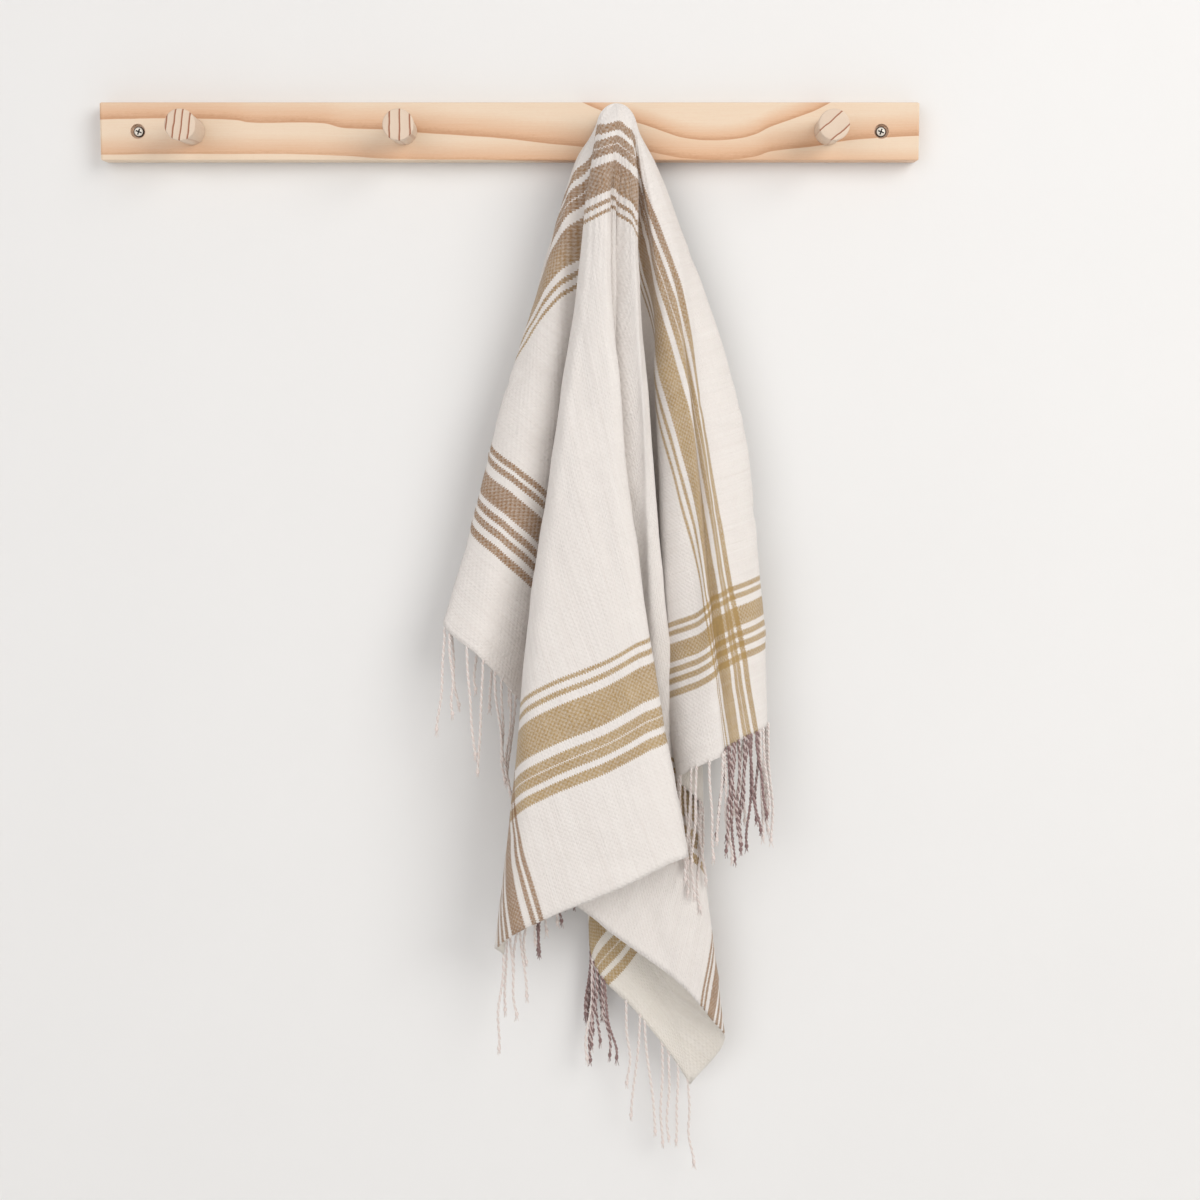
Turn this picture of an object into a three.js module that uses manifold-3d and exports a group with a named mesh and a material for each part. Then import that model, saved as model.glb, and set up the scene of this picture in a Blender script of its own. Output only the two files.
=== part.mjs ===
// Hand towel on a peg rail: a pine board with four turned pegs, held by two screws,
// and a handwoven cotton towel hung by one point near its long edge on the third peg.
// Millimetres. +X runs along the rail, -Y points into the room, +Z is up.
// The origin is the middle of the rail's back face, the face that lies on the wall.

import * as THREE from 'three';
import { mergeVertices } from 'three/addons/utils/BufferGeometryUtils.js';
import Module from 'manifold-3d';

const RAIL_LENGTH = 610;
const RAIL_HEIGHT = 42.5;
const RAIL_THICKNESS = 18;
const RAIL_ROUNDING = 1.2;

const PEG_COUNT = 4;
const PEG_SPACING = 158;
const PEG_REACH = 43;
const PEG_ROOT_RADIUS = 10.1;
const PEG_END_RADIUS = 11.5;
const PEG_END_BEVEL = 1;
const TENON_RADIUS = 7;
const TENON_LENGTH = 12;

const SCREW_OFFSET = 277;
const COUNTERBORE_RADIUS = 5.5;
const COUNTERBORE_DEPTH = 5;
const SCREW_HOLE_RADIUS = 2.6;
const SCREW_HEAD_RADIUS = 3.9;
const SCREW_HEAD_HEIGHT = 2.4;
const SCREW_SHANK_RADIUS = 2;
const SCREW_CROSS_LENGTH = 4.6;
const SCREW_CROSS_WIDTH = 1.1;
const SCREW_CROSS_DEPTH = 1.4;
const SCREW_CROSS_TURN = 20;

const PIECE_GAP = 0.3;

const TOWEL_LENGTH = 810;
const TOWEL_WIDTH = 613;
const CLOTH_THICKNESS = 1.2;
const CLOTH_CLEARANCE = 3.7;
const HUNG_PEG = 2;

// The towel lies over the top of the peg along a short line that crosses the cloth.
// The line's two ends: the peg's tip, and its root by the rail.
const HUNG_ALONG = 330;
const TIP = { across: 70, out: 60 };
const ROOT = { across: 25, out: 22 };
const WRAP_RADIUS = PEG_END_RADIUS + CLOTH_CLEARANCE + CLOTH_THICKNESS / 2;
const WRAP_RUN = 20;
const WRAP_FORWARD = 0.75;

// Fold lines run over the flat cloth from the peg to the towel's rim, in order round the rim:
// up the short edge on the left, along the lower long edge, up the short edge on the right.
//   along, across  where the line meets the rim, on the flat cloth
//   start          where it leaves the peg, in tenths: 0 at the tip, 10 at the root
//   heading        the way it leaves the peg, in degrees: 180 left, 270 forward, 360 right
//   give           how far the cloth stretches along the line
//   the rest       [side, out] after 50, 120, 240, 360, 480 and 600 mm of cloth, and at the rim:
//                  how far the line hangs to the right of the peg, and how far from the wall
const RUNS = [50, 120, 240, 360, 480, 600];
const FOLD_LINES = [
  // back of the towel, against the wall on the left
  [0, 0, 10, 180, 1, [-24, 23], [-32, 15], [-32, 10], , , , [-37, 10]],
  [0, 55, 10, 180, 1, [-26, 25], [-47, 12], [-64, 8], , , , [-74, 7]],
  [0, 90, 10, 180, 1, [-27, 25.7], [-50.5, 15], [-73, 10.5], , , , [-91, 8.5]],
  [0, 110, 10, 180, 1, [-27, 26], [-50.5, 18], [-75.5, 13], , , , [-94, 11.5]],
  [0, 130, 10, 180, 1, [-26.5, 27], [-50, 19.5], [-72, 15.5], , , , [-85, 14]],
  [0, 163, 10, 180, 1, [-25, 29], [-41, 22], [-51, 16], , , , [-62, 14]],
  [0, 184, 10, 180, 1, [-25.5, 30.2], [-41, 25], [-54, 20.5], , , , [-65, 20]],
  [0, 220, 10, 180, 1, [-25, 32], [-43, 30], [-68, 28], [-88, 27], , , [-92, 27]],
  // left face, from the left outline to the valley beside the front panel
  [0, 273, 9, 182, 1, [-28.5, 37], [-48, 37], [-84, 41], [-114, 43], , , [-129, 44]],
  [0, 306, 6, 186, 1, [-28, 45], [-47, 46], [-66, 53], [-92, 56], , , [-106, 53]],
  [0, 339, 4, 192, 1.008, [-26.5, 51], [-38, 52], [-47, 50], [-68, 46], , , [-86, 38]],
  [0, 364, 3, 198, 1.01, [-20, 55], [-25, 46], [-38, 36], [-54, 29], , , [-74, 26]],
  [0, 450, 0, 206, 1, [-17.4, 60], [-14, 43], [-12, 31], [-12, 26], , , [-32, 22]],
  [0, 485, 0, 210, 1, [-17.4, 60], [-16, 47], [-19, 37], [-25, 30], , , [-37, 28]],
  [0, 525, 0, 215, 1.005, [-17, 60], [-19, 52], [-28, 44], [-42, 37], [-52, 32], , [-58, 30]],
  [0, 613, 0, 223, 1.02, [-17.5, 63], [-24, 60], [-40, 58], [-56, 57], [-68, 53], , [-86, 44]],
  // front panel, a broad nearly flat fold
  [58, 613, 0, 230, 1.045, [-17, 67], [-26, 69], [-43.5, 74], [-62.5, 76], [-74, 76], , [-89, 70]],
  [80, 613, 0, 236, 1.042, [-15.5, 70], [-23, 74], [-39.5, 80], [-57, 83], [-68, 84], , [-79, 80]],
  [112, 613, 0, 244, 1.035, [-12.5, 73], [-18, 77], [-31, 82.5], [-44, 87], [-48, 89], , [-54, 87]],
  [170, 613, 0, 254, 1.022, [-7.5, 75], [-11, 79], [-12, 85], [-8, 91], [-2, 93], , [2, 93]],
  [212, 613, 0, 261, 1.012, [-4.5, 74], [-6, 78], [0, 84], [12, 89], [27, 90], , [40, 89]],
  [230, 613, 0, 265, 1.012, [-3.5, 72], [-4, 75], [5, 80], [20, 84], [40, 84], , [54, 84]],
  // pleat behind the front panel
  [258, 613, 0, 269, 1.01, [-3, 71], [-5, 73], [3, 74], [14, 78], [26, 79], , [33, 78]],
  [345, 613, 0, 274, 1, [-2, 68.5], [-9, 69], [-19, 70], [-36, 74], [-57, 73], , [-62, 71]],
  [425, 613, 0, 280, 1, [0, 68.5], [0, 68], [5, 67], [10, 69], [18, 65], , [25, 64]],
  // narrow ridge beside the front panel, which widens into the lowest panel
  [508, 613, 0, 287, 1, [3, 69], [-5, 63], [-16, 61], [-32, 61], [-48, 57], , [-60, 55]],
  [590, 613, 0, 295, 1.033, [9, 72], [10, 75], [14, 70], [12, 58], [4, 50], , [-8, 48]],
  [690, 613, 0, 302, 1.046, [12, 70], [15, 72], [23, 72], [30, 64], [41, 51], [55, 47], [62, 45]],
  [724, 613, 0, 306, 1.042, [14, 66], [16, 66], [26, 67], [37, 59], [55, 45], [69, 43], [74, 42]],
  // the lowest panel turned back, its reverse showing
  [760, 613, 0, 310, 1.038, [14, 64], [14, 60], [20, 58], [29, 50], [50, 37], [71.5, 35], [85, 34]],
  [810, 613, 0, 315, 1.05, [13, 60], [11, 50], [9, 42], [8, 34], [17, 27], [36, 23], [59, 20]],
  [810, 545, 0, 318, 1.035, [13, 58], [11, 46], [3, 36], [-6, 28], [-8, 23], , [15, 23]],
  [810, 508, 0, 320, 1.03, [13, 57], [12, 45], [0, 32], [-12, 25], [-18, 20.5], , [-13, 22]],
  [810, 485, 0, 321, 1.03, [13, 57], [13, 44], [1, 28], [-13, 21], [-25, 16.5], , [-19, 17]],
  [810, 460, 0, 323, 1.02, [13.4, 56.5], [15, 44], [8, 24], [-4, 16], [-15, 12.5], , [-14, 11.5]],
  // pleat behind the right panel
  [810, 430, 0, 325, 1, [14, 56], [16, 44], [14, 22], [10, 13], [8, 9], , [5, 9]],
  [810, 385, 0, 327, 1, [14.5, 55.5], [18, 44], [24, 28], [30, 20], [34, 16], , [37, 13]],
  [810, 345, 0, 329, 1, [15, 55], [20, 45], [34, 34], [50, 28], [62, 25], , [63, 21]],
  [810, 315, 0, 331, 1, [15, 55.5], [22, 47], [36, 42], [53, 40], [65, 39], , [67, 37]],
  [810, 285, 0, 333, 1, [16, 56], [24, 51], [35, 52], [47, 50], [60, 49], , [62, 49]],
  [810, 255, 0, 335, 1, [17, 56], [26, 53], [30, 53], [36, 51], [45, 50], , [50, 50]],
  // right panel, from its left fold to the long edge at the right outline
  [810, 205, 0, 338, 1.01, [18, 57], [30, 62], [43, 65], [50, 64], [50, 62], , [51, 62]],
  [810, 187, 0, 341, 1.01, [19, 57], [33, 63], [48.5, 66], [60, 67], [60, 68], , [60, 68]],
  [810, 160, 0, 344, 1.005, [21, 56], [37, 63], [56, 66], [67, 69], , , [80, 71]],
  [810, 147, 0, 346, 1.005, [22, 54.5], [39, 60], [57, 61], [69, 64], , , [82, 68]],
  [810, 130, 0, 347, 1.005, [23, 54], [43, 60], [61, 65], [75, 70], , , [87, 70]],
  [810, 105, 2, 350, 1, [25, 50], [47, 55], [66, 58], [82, 63], , , [98, 62]],
  [810, 82, 4, 353, 1, [27, 44], [51, 49], [79, 51], [95, 56], , , [110, 54]],
  [810, 50, 7, 356, 1, [28, 36], [54, 42], [91, 41], [108, 43], , , [115, 44]],
  [810, 0, 10, 360, 1, [28.5, 24], [54, 20], [84, 17], [93, 22], , , [88, 22]],
];
const FOLD_COLUMN_WIDTH = 26;
const FOLD_STEPS = 26;
const FOLD_STEP_POWER = 1.6;
const LENGTH_STEPS = 8;

const FRINGE_COUNT = 44;
const FRINGE_LENGTH = 62;
const FRINGE_LENGTH_SPREAD = 24;
const FRINGE_RADIUS = 1.1;
const FRINGE_SIDES = 3;
const FRINGE_STEPS = 3;
const FRINGE_SWAY = 4;
const FRINGE_LEANS = [3, -3, 6, -6];
const FRINGE_STRIP_DEPTH = 3;
const FRINGE_STRIP_GAP = 3;

const wasm = await Module();
wasm.setup();

const wood = { color: 0xe0b888, roughness: 0.55, metalness: 0 };
const endGrain = { color: 0xd8b48a, roughness: 0.6, metalness: 0 };
const steel = { color: 0x9a9a98, roughness: 0.35, metalness: 0.9 };
const cotton = { color: 0xefe7df, roughness: 0.95, metalness: 0 };
const twistedCotton = { color: 0xcdbfb3, roughness: 0.95, metalness: 0 };

const group = new THREE.Group();

function addPiece(name, geometry, look) {
  const mesh = new THREE.Mesh(geometry, new THREE.MeshStandardMaterial(look));
  mesh.name = name;
  group.add(mesh);
  return mesh;
}

// Joining and cutting closed meshes

function toSolid(geometry, matrix) {
  const bare = geometry.clone();
  bare.deleteAttribute('normal');
  bare.deleteAttribute('uv');
  if (matrix) {
    bare.applyMatrix4(matrix);
  }
  const merged = mergeVertices(bare, 1e-5);
  return new wasm.Manifold(new wasm.Mesh({
    numProp: 3,
    vertProperties: new Float32Array(merged.attributes.position.array),
    triVerts: new Uint32Array(merged.index.array),
  }));
}

function toGeometry(solid) {
  const mesh = solid.getMesh();
  const geometry = new THREE.BufferGeometry();
  geometry.setAttribute('position', new THREE.BufferAttribute(new Float32Array(mesh.vertProperties), 3));
  geometry.setIndex(new THREE.BufferAttribute(new Uint32Array(mesh.triVerts), 1));
  return geometry;
}

// A turned piece: its profile is [radius, height] from the axis back to the axis, and its
// height runs out of the wall, along -Y.
function turned(profile, sides) {
  const points = profile.map(([radius, height]) => new THREE.Vector2(radius, height));
  const geometry = new THREE.LatheGeometry(points, sides);
  geometry.rotateX(Math.PI);
  return geometry;
}

// The rail

function railBlank() {
  const halfHeight = RAIL_HEIGHT / 2;
  const r = RAIL_ROUNDING;
  const section = new THREE.Shape();
  section.moveTo(r, -halfHeight);
  section.lineTo(RAIL_THICKNESS - r, -halfHeight);
  section.quadraticCurveTo(RAIL_THICKNESS, -halfHeight, RAIL_THICKNESS, -halfHeight + r);
  section.lineTo(RAIL_THICKNESS, halfHeight - r);
  section.quadraticCurveTo(RAIL_THICKNESS, halfHeight, RAIL_THICKNESS - r, halfHeight);
  section.lineTo(r, halfHeight);
  section.lineTo(0, halfHeight - r);
  section.lineTo(0, -halfHeight + r);
  section.closePath();
  const geometry = new THREE.ExtrudeGeometry(section, {
    depth: RAIL_LENGTH - 2 * r,
    curveSegments: 3,
    bevelEnabled: true,
    bevelThickness: r,
    bevelSize: r / 2,
    bevelOffset: -r / 2,
    bevelSegments: 1,
  });
  // the section's x is the distance from the wall, its y is height
  const place = new THREE.Matrix4().makeBasis(
    new THREE.Vector3(0, -1, 0),
    new THREE.Vector3(0, 0, 1),
    new THREE.Vector3(-1, 0, 0),
  );
  geometry.translate(0, 0, -(RAIL_LENGTH - 2 * r) / 2);
  geometry.applyMatrix4(place);
  return geometry;
}

const pegSides = Array.from({ length: PEG_COUNT }, (_, i) => (i - (PEG_COUNT - 1) / 2) * PEG_SPACING);
const screwSides = [-SCREW_OFFSET, SCREW_OFFSET];

let rail = toSolid(railBlank());
const socketBottom = RAIL_THICKNESS - TENON_LENGTH - PIECE_GAP;
for (const side of pegSides) {
  const socket = turned([
    [0, socketBottom],
    [TENON_RADIUS + PIECE_GAP, socketBottom],
    [TENON_RADIUS + PIECE_GAP, RAIL_THICKNESS + 1],
    [0, RAIL_THICKNESS + 1],
  ], 32);
  rail = rail.subtract(toSolid(socket, new THREE.Matrix4().makeTranslation(side, 0, 0)));
}
for (const side of screwSides) {
  const counterboreBottom = RAIL_THICKNESS - COUNTERBORE_DEPTH;
  const hole = turned([
    [0, -1],
    [SCREW_HOLE_RADIUS, -1],
    [SCREW_HOLE_RADIUS, counterboreBottom],
    [COUNTERBORE_RADIUS, counterboreBottom],
    [COUNTERBORE_RADIUS, RAIL_THICKNESS + 1],
    [0, RAIL_THICKNESS + 1],
  ], 32);
  rail = rail.subtract(toSolid(hole, new THREE.Matrix4().makeTranslation(side, 0, 0)));
}
addPiece('rail', toGeometry(rail), wood);

// The pegs: a tenon in the rail, a body that widens to its end, and a small bevel

const pegFoot = RAIL_THICKNESS + PIECE_GAP;
const pegEnd = RAIL_THICKNESS + PEG_REACH;
const pegProfile = [
  [0, RAIL_THICKNESS - TENON_LENGTH],
  [TENON_RADIUS, RAIL_THICKNESS - TENON_LENGTH],
  [TENON_RADIUS, pegFoot],
  [PEG_ROOT_RADIUS, pegFoot],
  [PEG_ROOT_RADIUS + 0.2, pegFoot + 0.4 * PEG_REACH],
  [PEG_END_RADIUS - 0.4, pegEnd - 0.25 * PEG_REACH],
  [PEG_END_RADIUS, pegEnd - PEG_END_BEVEL],
  [PEG_END_RADIUS - PEG_END_BEVEL, pegEnd],
  [0, pegEnd],
];
pegSides.forEach((side, i) => {
  const peg = addPiece(`peg_${i + 1}`, turned(pegProfile, 24), endGrain);
  peg.position.x = side;
});

// The screws: a domed head sunk in the rail, with a cross recess, on a plain shank

function screw() {
  const seat = RAIL_THICKNESS - COUNTERBORE_DEPTH + PIECE_GAP;
  const crown = seat + SCREW_HEAD_HEIGHT;
  let solid = toSolid(turned([
    [0, PIECE_GAP],
    [SCREW_SHANK_RADIUS, PIECE_GAP],
    [SCREW_SHANK_RADIUS, seat],
    [SCREW_HEAD_RADIUS, seat],
    [SCREW_HEAD_RADIUS, seat + 0.4 * SCREW_HEAD_HEIGHT],
    [0.8 * SCREW_HEAD_RADIUS, seat + 0.85 * SCREW_HEAD_HEIGHT],
    [0, crown],
  ], 20));
  for (const quarter of [0, 1]) {
    const slot = new THREE.BoxGeometry(SCREW_CROSS_LENGTH, 2 * SCREW_CROSS_DEPTH, SCREW_CROSS_WIDTH);
    const turn = THREE.MathUtils.degToRad(SCREW_CROSS_TURN + 90 * quarter);
    const place = new THREE.Matrix4().makeTranslation(0, -crown, 0);
    place.multiply(new THREE.Matrix4().makeRotationY(turn));
    solid = solid.subtract(toSolid(slot, place));
  }
  return toGeometry(solid);
}

addPiece('screw_left', screw(), steel).position.x = screwSides[0];
addPiece('screw_right', screw(), steel).position.x = screwSides[1];

// The hung towel

// Slopes for a smooth curve through values at uneven places.
function slopesAt(places, values) {
  const slopes = [];
  const last = places.length - 1;
  for (let i = 0; i <= last; i += 1) {
    const before = i > 0 ? (values[i] - values[i - 1]) / (places[i] - places[i - 1]) : null;
    const after = i < last ? (values[i + 1] - values[i]) / (places[i + 1] - places[i]) : null;
    if (before === null || after === null) {
      slopes.push(before ?? after);
    } else {
      const left = places[i] - places[i - 1];
      const right = places[i + 1] - places[i];
      slopes.push((before * right + after * left) / (left + right));
    }
  }
  return slopes;
}

function curveAt(places, values, slopes, place) {
  let i = 0;
  while (i < places.length - 2 && place > places[i + 1]) {
    i += 1;
  }
  const span = places[i + 1] - places[i];
  const t = (place - places[i]) / span;
  const rise = t * t * (3 - 2 * t);
  const leave = t * (1 - t) * (1 - t);
  const arrive = t * t * (t - 1);
  return values[i] + (values[i + 1] - values[i]) * rise
    + span * (slopes[i] * leave + slopes[i + 1] * arrive);
}

const mix = (from, to, share) => from + (to - from) * share;

// One fold line as two curves, side and out, over the run of cloth from the peg.
function readFoldLine([along, across, startTenths, headingDegrees, give, ...columns]) {
  const start = startTenths / 10;
  const heading = THREE.MathUtils.degToRad(headingDegrees);
  const toSide = Math.cos(heading);
  const toOut = -Math.sin(heading) * WRAP_FORWARD;
  const length = Math.hypot(along - HUNG_ALONG, across - mix(TIP.across, ROOT.across, start));
  const wrapReach = WRAP_RADIUS * Math.sin(WRAP_RUN / WRAP_RADIUS);
  const startOut = mix(TIP.out, ROOT.out, start);
  const runs = [0, WRAP_RUN];
  const side = [0, toSide * wrapReach];
  const out = [startOut, startOut + toOut * wrapReach];
  columns.forEach((place, i) => {
    if (place) {
      runs.push(i < RUNS.length ? RUNS[i] : length);
      side.push(place[0]);
      out.push(place[1]);
    }
  });
  const sideSlopes = slopesAt(runs, side);
  const outSlopes = slopesAt(runs, out);
  sideSlopes[0] = toSide;
  outSlopes[0] = toOut / WRAP_FORWARD;
  sideSlopes[1] = 0.6 * (side[2] - side[1]) / (runs[2] - runs[1]) + 0.08 * toSide;
  outSlopes[1] = 0.6 * (out[2] - out[1]) / (runs[2] - runs[1]) + 0.08 * toOut;
  return {
    along,
    across,
    start,
    give,
    rim: rimPlace(along, across),
    placeAt(share) {
      const run = share * length;
      return [curveAt(runs, side, sideSlopes, run), curveAt(runs, out, outSlopes, run)];
    },
  };
}

// The rim as one length: up the left short edge, along the lower edge, up the right short edge.
function rimPlace(along, across) {
  if (along === 0) {
    return across;
  }
  if (across === TOWEL_WIDTH) {
    return TOWEL_WIDTH + along;
  }
  return 2 * TOWEL_WIDTH + TOWEL_LENGTH - across;
}

function rimPoint(place) {
  if (place <= TOWEL_WIDTH) {
    return [0, place];
  }
  if (place <= TOWEL_WIDTH + TOWEL_LENGTH) {
    return [place - TOWEL_WIDTH, TOWEL_WIDTH];
  }
  return [TOWEL_LENGTH, 2 * TOWEL_WIDTH + TOWEL_LENGTH - place];
}

const foldLines = FOLD_LINES.map(readFoldLine);
const foldRims = foldLines.map((line) => line.rim);
const foldStarts = foldLines.map((line) => line.start);
const foldGives = foldLines.map((line) => line.give);
const pegSide = pegSides[HUNG_PEG];
const pegTopHeight = WRAP_RADIUS;

// Columns of the cloth: every fold line, and even steps between them.
function clothColumns() {
  const columns = [];
  for (let i = 0; i + 1 < foldLines.length; i += 1) {
    const width = foldRims[i + 1] - foldRims[i];
    const turns = Math.abs(foldStarts[i + 1] - foldStarts[i]) * 10;
    const steps = Math.max(1, Math.round(width / FOLD_COLUMN_WIDTH), Math.round(turns));
    for (let k = 0; k < steps; k += 1) {
      columns.push(mix(foldRims[i], foldRims[i + 1], k / steps));
    }
  }
  columns.push(foldRims[foldRims.length - 1]);
  return columns;
}

function straightAt(places, values, place) {
  let i = 0;
  while (i < places.length - 2 && place > places[i + 1]) {
    i += 1;
  }
  return mix(values[i], values[i + 1], (place - places[i]) / (places[i + 1] - places[i]));
}

// The middle surface of the towel: for each column its points from the peg to the rim. Side and
// out come from the fold lines, and the height from the length of cloth used up on the way.
function hangCloth(columns) {
  const fine = FOLD_STEPS * LENGTH_STEPS;
  const shares = Array.from({ length: fine + 1 }, (_, k) => (k / fine) ** FOLD_STEP_POWER);
  const sections = shares.map((share) => {
    const places = foldLines.map((line) => line.placeAt(share));
    const side = places.map(([value]) => value);
    const out = places.map(([, value]) => value);
    const sideSlopes = slopesAt(foldRims, side);
    const outSlopes = slopesAt(foldRims, out);
    return (rim) => [
      curveAt(foldRims, side, sideSlopes, rim),
      curveAt(foldRims, out, outSlopes, rim),
    ];
  });
  return columns.map((rim) => {
    const start = Math.round(straightAt(foldRims, foldStarts, rim) * 10) / 10;
    const give = straightAt(foldRims, foldGives, rim);
    const [along, across] = rimPoint(rim);
    const length = give * Math.hypot(along - HUNG_ALONG, across - mix(TIP.across, ROOT.across, start));
    let height = pegTopHeight;
    let before = [0, mix(TIP.out, ROOT.out, start)];
    const points = [];
    for (let k = 0; k <= fine; k += 1) {
      const here = k === 0 ? before : sections[k](rim);
      if (k > 0) {
        const run = (shares[k] - shares[k - 1]) * length;
        const level = Math.hypot(here[0] - before[0], here[1] - before[1]);
        height -= Math.sqrt(Math.max(run * run - level * level, (0.02 * run) ** 2));
      }
      if (k % LENGTH_STEPS === 0) {
        points.push(new THREE.Vector3(pegSide + here[0], -here[1], height));
      }
      before = here;
    }
    return points;
  });
}

// Gives a grid of points a thickness: two skins, joined by a wall along every open edge.
function thicken(columns, thickness) {
  const positions = [];
  const cells = [];
  const rows = columns[0].length;
  columns.forEach((points) => points.forEach((p) => positions.push(p.x, p.y, p.z)));
  for (let j = 0; j + 1 < columns.length; j += 1) {
    for (let k = 0; k + 1 < rows; k += 1) {
      const a = j * rows + k;
      const b = a + rows;
      cells.push(a, a + 1, b + 1, a, b + 1, b);
    }
  }
  const sheet = new THREE.BufferGeometry();
  sheet.setAttribute('position', new THREE.Float32BufferAttribute(positions, 3));
  sheet.setIndex(cells);
  const merged = mergeVertices(sheet, 1e-4);
  const index = [];
  for (let i = 0; i < merged.index.count; i += 3) {
    const [a, b, c] = [0, 1, 2].map((corner) => merged.index.getX(i + corner));
    if (a !== b && b !== c && c !== a) {
      index.push(a, b, c);
    }
  }
  merged.setIndex(index);
  merged.computeVertexNormals();
  const middle = merged.attributes.position;
  const normal = merged.attributes.normal;
  const skins = [];
  for (const offset of [thickness / 2, -thickness / 2]) {
    for (let i = 0; i < middle.count; i += 1) {
      skins.push(
        middle.getX(i) + offset * normal.getX(i),
        middle.getY(i) + offset * normal.getY(i),
        middle.getZ(i) + offset * normal.getZ(i),
      );
    }
  }
  const edges = new Map();
  const faces = [];
  for (let i = 0; i < index.length; i += 3) {
    const corners = index.slice(i, i + 3);
    faces.push(...corners);
    faces.push(...corners.map((corner) => corner + middle.count).reverse());
    corners.forEach((from, k) => {
      const to = corners[(k + 1) % 3];
      if (!edges.delete(`${to} ${from}`)) {
        edges.set(`${from} ${to}`, [from, to]);
      }
    });
  }
  for (const [from, to] of edges.values()) {
    const below = [from + middle.count, to + middle.count];
    faces.push(from, below[0], to, to, below[0], below[1]);
  }
  const solid = new THREE.BufferGeometry();
  solid.setAttribute('position', new THREE.Float32BufferAttribute(skins, 3));
  solid.setIndex(faces);
  return solid;
}

const columns = clothColumns();
const cloth = hangCloth(columns);
const towel = thicken(cloth, CLOTH_THICKNESS);
const towelSolid = toSolid(towel);
addPiece('towel', towel, cotton);

// The fringe: at each short edge a narrow strip just past the cloth, and strands that grow
// out of it and then fall straight down, each a little differently. A strand leans off the cloth
// by the first of the leans that keeps it clear, and is left out where none does.

function uneven(index, kind) {
  const value = Math.sin(index * 12.9898 + kind * 78.233) * 43758.5453;
  return value - Math.floor(value);
}

function fringe(name, fromRim, toRim) {
  // threads leave the edge square to it, so each way on is a blend of the fold line and the edge
  const edge = columns
    .map((rim, j) => ({ rim, points: cloth[j], end: cloth[j][cloth[j].length - 1] }))
    .filter(({ rim }) => rim >= fromRim - 1e-6 && rim <= toRim + 1e-6);
  edge.forEach((place, j) => {
    const before = edge[Math.max(j - 1, 0)];
    const after = edge[Math.min(j + 1, edge.length - 1)];
    const alongEdge = after.end.clone().sub(before.end).divideScalar(after.rim - before.rim);
    const alongLine = place.end.clone().sub(place.points[place.points.length - 2]).normalize();
    const [along, across] = rimPoint(place.rim);
    const slant = (across - TIP.across) / Math.abs(along - HUNG_ALONG);
    const edgeSense = along === 0 ? 1 : -1;
    place.onward = alongLine.multiplyScalar(Math.hypot(1, slant))
      .addScaledVector(alongEdge, -slant * edgeSense)
      .normalize();
  });
  const strip = edge.map(({ end, onward }) => [
    end.clone().addScaledVector(onward, FRINGE_STRIP_GAP),
    end.clone().addScaledVector(onward, FRINGE_STRIP_GAP + FRINGE_STRIP_DEPTH),
  ]);
  let solid = toSolid(thicken(strip, CLOTH_THICKNESS));
  const section = new THREE.Shape();
  for (let i = 0; i < FRINGE_SIDES; i += 1) {
    const turn = (2 * Math.PI * i) / FRINGE_SIDES;
    const corner = [FRINGE_RADIUS * Math.cos(turn), FRINGE_RADIUS * Math.sin(turn)];
    if (i === 0) {
      section.moveTo(...corner);
    } else {
      section.lineTo(...corner);
    }
  }
  section.closePath();
  for (let i = 0; i < FRINGE_COUNT; i += 1) {
    const rim = mix(fromRim, toRim, (i + 0.5) / FRINGE_COUNT);
    let j = 0;
    while (j < edge.length - 2 && rim > edge[j + 1].rim) {
      j += 1;
    }
    const share = (rim - edge[j].rim) / (edge[j + 1].rim - edge[j].rim);
    const end = edge[j].end.clone().lerp(edge[j + 1].end, share);
    const onward = edge[j].onward.clone().lerp(edge[j + 1].onward, share).normalize();
    const root = end.clone().addScaledVector(onward, FRINGE_STRIP_GAP + 0.5 * FRINGE_STRIP_DEPTH);
    const knee = root.clone().addScaledVector(onward, 7);
    const fall = FRINGE_LENGTH + FRINGE_LENGTH_SPREAD * uneven(i, 1) - 8;
    const sway = new THREE.Vector3(FRINGE_SWAY * (2 * uneven(i, 2) - 1), 0, 0);
    const fromCloth = edge[j + 1].end.clone().sub(edge[j].end).cross(onward).setZ(0).normalize();
    const strands = FRINGE_LEANS.map((lean) => {
      const drift = sway.clone().addScaledVector(fromCloth, lean);
      const path = new THREE.CatmullRomCurve3([
        root,
        knee,
        knee.clone().add(drift).add(new THREE.Vector3(0, 0, -0.5 * fall)),
        knee.clone().addScaledVector(drift, 1.2).add(new THREE.Vector3(0, 0, -fall)),
      ]);
      return toSolid(new THREE.ExtrudeGeometry(section, { steps: FRINGE_STEPS, extrudePath: path }));
    });
    const clear = strands.find((strand) => strand.minGap(towelSolid, 2 * PIECE_GAP) > PIECE_GAP);
    if (clear) {
      solid = solid.add(clear);
    }
  }
  addPiece(name, toGeometry(solid), twistedCotton);
}

fringe('fringe_left_end', 0, TOWEL_WIDTH);
fringe('fringe_right_end', TOWEL_WIDTH + TOWEL_LENGTH, 2 * TOWEL_WIDTH + TOWEL_LENGTH);

export default group;
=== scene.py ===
import math
import random

import bmesh
import bpy
import numpy as np
from mathutils import Matrix, Vector, noise


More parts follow.
